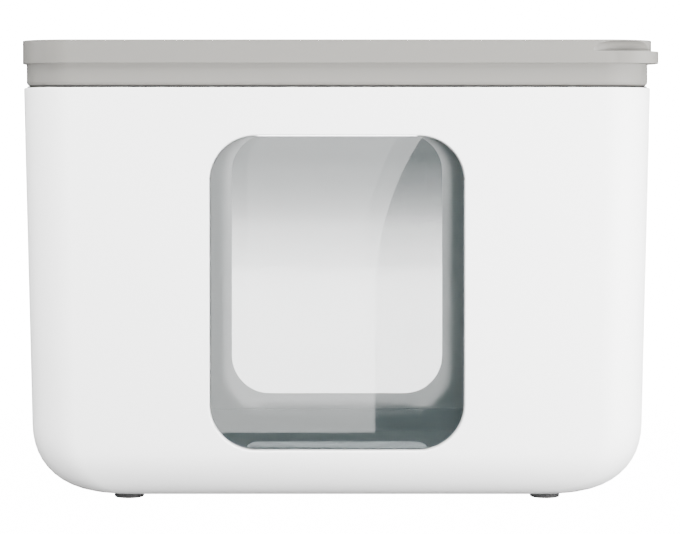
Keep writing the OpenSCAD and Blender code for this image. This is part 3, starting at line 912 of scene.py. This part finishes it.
class LITTERBOX_OT_filter(Operator):
    """Model the carbon foam pad, and finish the tray and the cover that hold it under the lid"""
    bl_idname = "litterbox.filter"
    bl_label = "Filter"

    def execute(self, context):
        sizes = context.scene.litter_box_sizes
        lo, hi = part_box("carbon_filter")
        pad = rounded_block("carbon_foam_pad", lo + Vector((0.4, 0.4, 0.4)) * MM,
                            hi - Vector((0.4, 0.4, 0.1)) * MM, 3 * MM, 2, 4)
        soften(pad, 1.2 * MM, lambda place: True, segments=2)
        edit(pad)
        bpy.ops.mesh.select_all(action="SELECT")
        bpy.ops.mesh.quads_convert_to_tris()
        leave()
        grid = pad.modifiers.new("Grid", "REMESH")
        grid.mode = "VOXEL"
        grid.voxel_size = 1.1 * MM
        activate(pad)
        bpy.ops.object.modifier_apply(modifier=grid.name)
        pores = bpy.data.textures.new("Foam pores", "CLOUDS")
        pores.noise_scale = 2.5 * MM
        pit = pad.modifiers.new("Pores", "DISPLACE")
        pit.texture = pores
        pit.strength = 0.9 * MM
        pit.mid_level = 0.9
        bpy.ops.object.modifier_apply(modifier=pit.name)
        bpy.ops.object.shade_smooth()
        settle(pad, "lid", "carbon_foam", finish("carbon_foam"), "carbon_filter")

        tray_lo, tray_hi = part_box("filter_tray")
        tray = copy_of("filter_holder", "filter_tray")
        soften(tray, sizes.fine_edge, lambda place: near(place.z, tray_lo.z) or not near(place.z, tray_hi.z),
               sharp=60, segments=2)
        shade(tray)
        settle(tray, "lid", "inner_grey", finish("inner_grey"), "filter_tray")

        cover_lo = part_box("filter_cover")[0]
        cover = copy_of("filter_door_panel", "filter_cover")
        soften(cover, sizes.fine_edge, lambda place: near(place.z, cover_lo.z), sharp=60, segments=2)
        shade(cover)
        settle(cover, "filter_door", "inner_grey", finish("inner_grey"), "filter_cover")
        return {"FINISHED"}


class LITTERBOX_OT_feet(Operator):
    """Model one rubber foot and copy it to the four corners"""
    bl_idname = "litterbox.feet"
    bl_label = "Feet"

    def execute(self, context):
        for end in ("front_left", "front_right", "rear_left", "rear_right"):
            lo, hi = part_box("foot_" + end)
            x, y = (lo.x + hi.x) / 2, (lo.y + hi.y) / 2
            radius = (hi.x - lo.x) / 2
            foot = rod("rubber_foot_" + end, (x, y, lo.z), (x, y, TUB_LO.z + 0.3 * MM), radius, 48)
            soften(foot, 1.2 * MM, lambda place: near(place.z, lo.z), segments=4)
            edit(foot)
            pick(foot, "FACE", lambda f: f.normal.z < -0.99)
            bpy.ops.mesh.inset(thickness=3 * MM)
            bpy.ops.mesh.inset(thickness=0.8 * MM, depth=-0.8 * MM)
            bpy.ops.mesh.inset(thickness=2 * MM)
            leave()
            shade(foot)
            settle(foot, "box", "foot_rubber", finish("foot_rubber"), "foot_" + end)
        return {"FINISHED"}


class LITTERBOX_OT_fasteners(Operator):
    """Give the screws, hinge pins, bushes and sill magnet their finishes"""
    bl_idname = "litterbox.fasteners"
    bl_label = "Fasteners"

    def execute(self, context):
        finishes = {
            "steel": ("collar_screws", "door_frame_screws", "filter_tray_screws", "lid_hinge_pin_left",
                      "lid_hinge_pin_right"),
            "nylon": ("flap_bush_left", "flap_bush_right"),
            "magnet": ("sill_magnet",),
        }
        for name, nodes in finishes.items():
            for node in nodes:
                data = frame["nodes"][node].data
                data.materials.clear()
                data.materials.append(finish(name))
        return {"FINISHED"}


# ---------------------------------------------------------------- studio

CARD_AHEAD = 0.42            # from the flap forward to the card
CARD_LEFT = -0.24
CARD_RIGHT = 0.037
CARD_FOOT = 0.001
CARD_TOP = 0.34
CARD_BEND = 0.11             # height from which the card's right side leans out
CARD_SPREAD = 0.088          # how far it has leaned out at the card's top


def floor_material():
    """A pale floor: plain white to the camera, with a painted pool of light that falls off with distance
    where a pane is looked through.

    It lights the object as paper would, has painted shade under and beside it, and is painted dark where it
    is seen in gloss.
    """
    material = bpy.data.materials.new("Studio floor")
    material.use_nodes = True
    tree = material.node_tree
    tree.nodes.clear()
    out = tree.nodes.new("ShaderNodeOutputMaterial")
    paper = tree.nodes.new("ShaderNodeBsdfDiffuse")
    bright = nodes_of(tree, "ShaderNodeEmission", Strength=16.0)
    seen = tree.nodes.new("ShaderNodeAddShader")
    tree.links.new(paper.outputs[0], seen.inputs[0])
    tree.links.new(bright.outputs[0], seen.inputs[1])

    place = tree.nodes.new("ShaderNodeTexCoord")
    length = tree.nodes.new("ShaderNodeVectorMath")
    length.operation = "LENGTH"
    tree.links.new(place.outputs["Object"], length.inputs[0])
    # Painted shade: the paper goes from near black close to the box to pale far off, a painted contact shadow
    # under and around it.
    pale = nodes_of(tree, "ShaderNodeMapRange", From_Min=0.42, From_Max=1.6, To_Min=0.02, To_Max=0.80)
    tree.links.new(length.outputs["Value"], pale.inputs["Value"])
    path = tree.nodes.new("ShaderNodeLightPath")
    # Painted dark in gloss: glossy rays see the paper at a tenth of its tone, so the floor's reflection is
    # painted out.
    dimmed = math_node(tree, "SUBTRACT", 1.0, math_node(tree, "MULTIPLY", path.outputs["Is Glossy Ray"], 0.9))
    tone = math_node(tree, "MULTIPLY", pale.outputs["Result"], dimmed)
    tree.links.new(tone, paper.inputs["Color"])
    # Painted pool of light: seen through a pane, the floor glows by a set curve that falls off with distance
    # from the middle.
    fade = tree.nodes.new("ShaderNodeFloatCurve")
    span = nodes_of(tree, "ShaderNodeMapRange", From_Min=0.0, From_Max=25.0)
    tree.links.new(length.outputs["Value"], span.inputs["Value"])
    tree.links.new(span.outputs["Result"], fade.inputs["Value"])
    curve = fade.mapping.curves[0]
    curve.points[0].location = (0.0, 1.0)
    curve.points[1].location = (1.0, 0.06)
    for x, y in ((0.07, 1.0), (0.12, 0.68), (0.18, 0.45), (0.29, 0.18), (0.58, 0.08)):
        curve.points.new(x, y)
    fade.mapping.update()
    level = math_node(tree, "MULTIPLY", fade.outputs["Value"], 13.0)
    faded = tree.nodes.new("ShaderNodeEmission")
    tree.links.new(level, faded.inputs["Strength"])

    through = math_node(tree, "GREATER_THAN", path.outputs["Transparent Depth"], 0.5)
    camera_view = tree.nodes.new("ShaderNodeMixShader")
    tree.links.new(through, camera_view.inputs[0])
    tree.links.new(seen.outputs[0], camera_view.inputs[1])
    tree.links.new(faded.outputs[0], camera_view.inputs[2])
    whole = tree.nodes.new("ShaderNodeMixShader")
    tree.links.new(path.outputs["Is Camera Ray"], whole.inputs[0])
    tree.links.new(paper.outputs[0], whole.inputs[1])
    tree.links.new(camera_view.outputs[0], whole.inputs[2])
    tree.links.new(whole.outputs[0], out.inputs[0])
    return material


def studio_world(scene):
    """A white room, darker in front of the object and behind it, and plain white to the camera."""
    world = bpy.data.worlds.new("Studio")
    scene.world = world
    world.use_nodes = True
    tree = world.node_tree
    tree.nodes.clear()
    out = tree.nodes.new("ShaderNodeOutputWorld")
    place = tree.nodes.new("ShaderNodeTexCoord")
    split = tree.nodes.new("ShaderNodeSeparateXYZ")
    tree.links.new(place.outputs["Generated"], split.inputs[0])
    front = nodes_of(tree, "ShaderNodeMapRange", From_Min=-0.5, From_Max=-0.12, To_Min=0.05, To_Max=5.5)
    rear = nodes_of(tree, "ShaderNodeMapRange", From_Min=0.05, From_Max=0.40, To_Min=5.0, To_Max=0.5)
    tilt = nodes_of(tree, "ShaderNodeMapRange", From_Min=-1.0, From_Max=1.0, To_Min=1.42, To_Max=1.75)
    for axis, span in (("Y", front), ("Y", rear), ("X", tilt)):
        tree.links.new(split.outputs[axis], span.inputs["Value"])
    level = math_node(tree, "MINIMUM", front.outputs["Result"], rear.outputs["Result"])
    room = tree.nodes.new("ShaderNodeBackground")
    tree.links.new(math_node(tree, "MULTIPLY", level, tilt.outputs["Result"]), room.inputs["Strength"])
    white = nodes_of(tree, "ShaderNodeBackground", Strength=30.0)
    path = tree.nodes.new("ShaderNodeLightPath")
    mix = tree.nodes.new("ShaderNodeMixShader")
    tree.links.new(path.outputs["Is Camera Ray"], mix.inputs[0])
    tree.links.new(room.outputs[0], mix.inputs[1])
    tree.links.new(white.outputs[0], mix.inputs[2])
    tree.links.new(mix.outputs[0], out.inputs[0])


def place_light(name, kind, power, place, target, **settings):
    """Aims a light at a target, and hides it from the camera and from gloss."""
    light = bpy.data.lights.new(name, kind)
    light.energy = power
    for setting, value in settings.items():
        setattr(light, setting, value)
    obj = bpy.data.objects.new(name, light)
    bpy.context.scene.collection.objects.link(obj)
    obj.location = place
    obj.rotation_euler = (Vector(target) - Vector(place)).to_track_quat("-Z", "Y").to_euler()
    obj.visible_camera = False
    obj.visible_glossy = False


def reflection_card(strength):
    """A bright card with one curved side, seen only in gloss, so that the flap mirrors it."""
    bpy.ops.object.select_all(action="DESELECT")
    ahead = FLAP_LO.y - CARD_AHEAD
    bpy.ops.mesh.primitive_plane_add(size=1, location=(0, 0, 0))
    card = name_piece(bpy.context.object, "mirror_card")
    edit(card)
    corners = ((CARD_LEFT, CARD_FOOT), (CARD_RIGHT, CARD_FOOT), (CARD_RIGHT, CARD_TOP), (CARD_LEFT, CARD_TOP))
    shape = bmesh.from_edit_mesh(card.data)
    ring = sorted(shape.verts, key=lambda v: math.atan2(v.co.y, v.co.x))
    for vertex, (x, z) in zip(ring, corners):
        vertex.co = (x + CENTRE_X, ahead, z)
    bmesh.update_edit_mesh(card.data)
    pick(card, "EDGE", lambda e: all(v.co.x > 0 for v in e.verts))
    bpy.ops.mesh.subdivide(number_cuts=24)
    shape = bmesh.from_edit_mesh(card.data)
    for vertex in shape.verts:
        if vertex.co.x > 0 and vertex.co.z > CARD_BEND:
            vertex.co.x += CARD_SPREAD * ((vertex.co.z - CARD_BEND) / (CARD_TOP - CARD_BEND)) ** 2.6
    bmesh.update_edit_mesh(card.data)
    leave()
    glow = bpy.data.materials.new("Card")
    glow.use_nodes = True
    tree = glow.node_tree
    tree.nodes.clear()
    light = nodes_of(tree, "ShaderNodeEmission", Strength=strength)
    out = tree.nodes.new("ShaderNodeOutputMaterial")
    tree.links.new(light.outputs[0], out.inputs[0])
    card.data.materials.append(glow)
    card.visible_camera = False
    card.visible_diffuse = False
    card.visible_shadow = False
    card.visible_transmission = False


class LITTERBOX_OT_studio(Operator):
    """Set up the floor, the lights and the camera"""
    bl_idname = "litterbox.studio"
    bl_label = "Studio"

    def execute(self, context):
        scene = context.scene
        setup = scene.litter_box_studio
        bpy.ops.object.select_all(action="DESELECT")
        bpy.ops.mesh.primitive_plane_add(size=120, location=(0, 0, FLOOR_Z))
        floor = name_piece(bpy.context.object, "studio_floor")
        floor.data.materials.append(floor_material())
        studio_world(scene)

        lens = bpy.data.cameras.new("Camera")
        lens.lens = setup.lens
        lens.sensor_width = 36.0
        lens.shift_x = setup.shift_x
        lens.shift_y = setup.shift_y
        lens.clip_end = 300.0
        camera = bpy.data.objects.new("Camera", lens)
        scene.collection.objects.link(camera)
        camera.location = (CENTRE_X, TUB_LO.y - setup.distance, setup.height)
        camera.rotation_euler = (math.radians(90) - setup.pitch, 0, 0)
        scene.camera = camera

        middle = (CENTRE_X, CENTRE_Y, 0.17)
        front = TUB_LO.y
        place_light("front_light", "SPOT", setup.key, (CENTRE_X, front - 5.6, 0.298), (CENTRE_X, front, 0.19),
                    spot_size=math.radians(9), spot_blend=0.15, shadow_soft_size=0.07)
        place_light("top_light", "AREA", setup.top, (0, front - 0.6, 1.9), middle,
                    shape="RECTANGLE", size=1.6, size_y=1.2)
        place_light("side_light", "AREA", setup.side, (0.9, front - 0.5, 0.16), (0.16, front, 0.05),
                    shape="RECTANGLE", size=0.5, size_y=0.3)
        reflection_card(setup.card)
        return {"FINISHED"}


# ---------------------------------------------------------------- panel and registration

OPERATORS = (LITTERBOX_OT_tub, LITTERBOX_OT_flap, LITTERBOX_OT_window, LITTERBOX_OT_door_frame,
             LITTERBOX_OT_collar, LITTERBOX_OT_lid, LITTERBOX_OT_pan, LITTERBOX_OT_filter,
             LITTERBOX_OT_feet, LITTERBOX_OT_fasteners, LITTERBOX_OT_studio)
GROUPS_OF_SETTINGS = {"litter_box_sizes": BoxSizes, "litter_box_colours": BoxColours,
                      "litter_box_studio": StudioSettings}


class LITTERBOX_PT_panel(Panel):
    """Lists the sizes, the colours and one button for each group of pieces"""
    bl_idname = "LITTERBOX_PT_panel"
    bl_label = "Litter box"
    bl_space_type = "VIEW_3D"
    bl_region_type = "UI"
    bl_category = "Litter box"

    def draw(self, context):
        for name in GROUPS_OF_SETTINGS:
            section = self.layout.box()
            settings = getattr(context.scene, name)
            for prop in settings.bl_rna.properties:
                if prop.identifier not in ("rna_type", "name"):
                    section.prop(settings, prop.identifier)
        for operator in OPERATORS:
            self.layout.operator(operator.bl_idname)


CLASSES = (BoxSizes, BoxColours, StudioSettings) + OPERATORS + (LITTERBOX_PT_panel,)


def register():
    for item in CLASSES:
        bpy.utils.register_class(item)
    for name, kind in GROUPS_OF_SETTINGS.items():
        setattr(bpy.types.Scene, name, PointerProperty(type=kind))


def unregister():
    for name in GROUPS_OF_SETTINGS:
        delattr(bpy.types.Scene, name)
    for item in reversed(CLASSES):
        bpy.utils.unregister_class(item)


def main():
    register()
    bpy.ops.litterbox.studio()
    bpy.ops.litterbox.tub()
    bpy.ops.litterbox.flap()
    bpy.ops.litterbox.window()
    bpy.ops.litterbox.door_frame()
    bpy.ops.litterbox.collar()
    bpy.ops.litterbox.lid()
    bpy.ops.litterbox.pan()
    bpy.ops.litterbox.filter()
    bpy.ops.litterbox.feet()
    bpy.ops.litterbox.fasteners()


if __name__ == "__main__":
    main()
